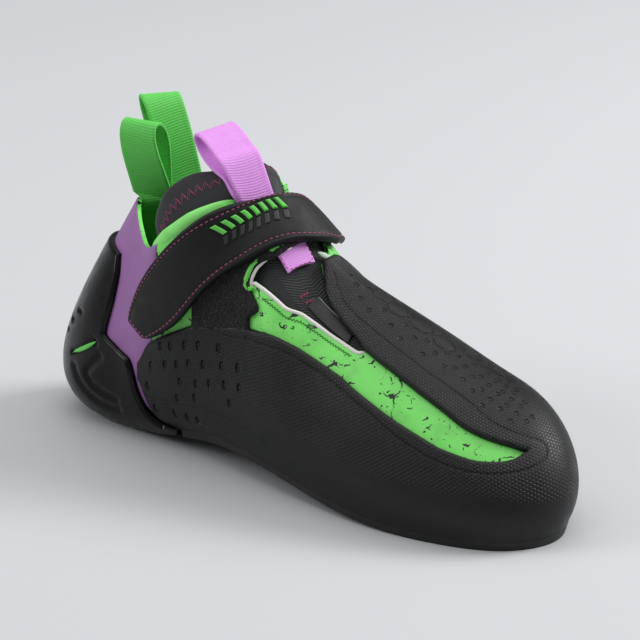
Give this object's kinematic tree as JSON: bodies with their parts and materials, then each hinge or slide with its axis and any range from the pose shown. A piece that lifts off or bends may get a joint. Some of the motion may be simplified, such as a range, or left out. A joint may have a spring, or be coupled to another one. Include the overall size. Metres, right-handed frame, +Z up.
{
  "type": "climbing shoe",
  "caption": "Left climbing shoe with a downturned toe, a rubber rand and toe patch, a moulded heel cup, one hook-and-loop strap and webbing pull loops.",
  "frame": {"origin": "on the floor under the centre of the shoe's bounding box", "axes": "+X towards the toe, +Y towards the lateral side, +Z up, so the medial side faces -Y"},
  "size_m": [0.2412, 0.0842, 0.1268],
  "materials": {
    "green_leather": "satin",
    "rand_rubber": "satin",
    "black_rubber": "satin",
    "sole_rubber": "matte",
    "insole_fibre": "matte",
    "tongue_knit": "matte",
    "tab_fleece": "napped",
    "strap_synthetic": "satin",
    "green_webbing": "woven",
    "purple_webbing": "woven"
  },
  "bodies": {
    "root": {"upper": "green_leather", "rand": "rand_rubber", "heel_cup": "black_rubber", "outsole": "sole_rubber", "insole_board": "insole_fibre", "tongue": "tongue_knit", "closure_tab": "tab_fleece", "strap": "strap_synthetic", "heel_loop_near": "green_webbing", "heel_loop_far": "green_webbing", "tongue_loop": "purple_webbing"}
  },
  "joints": []
}
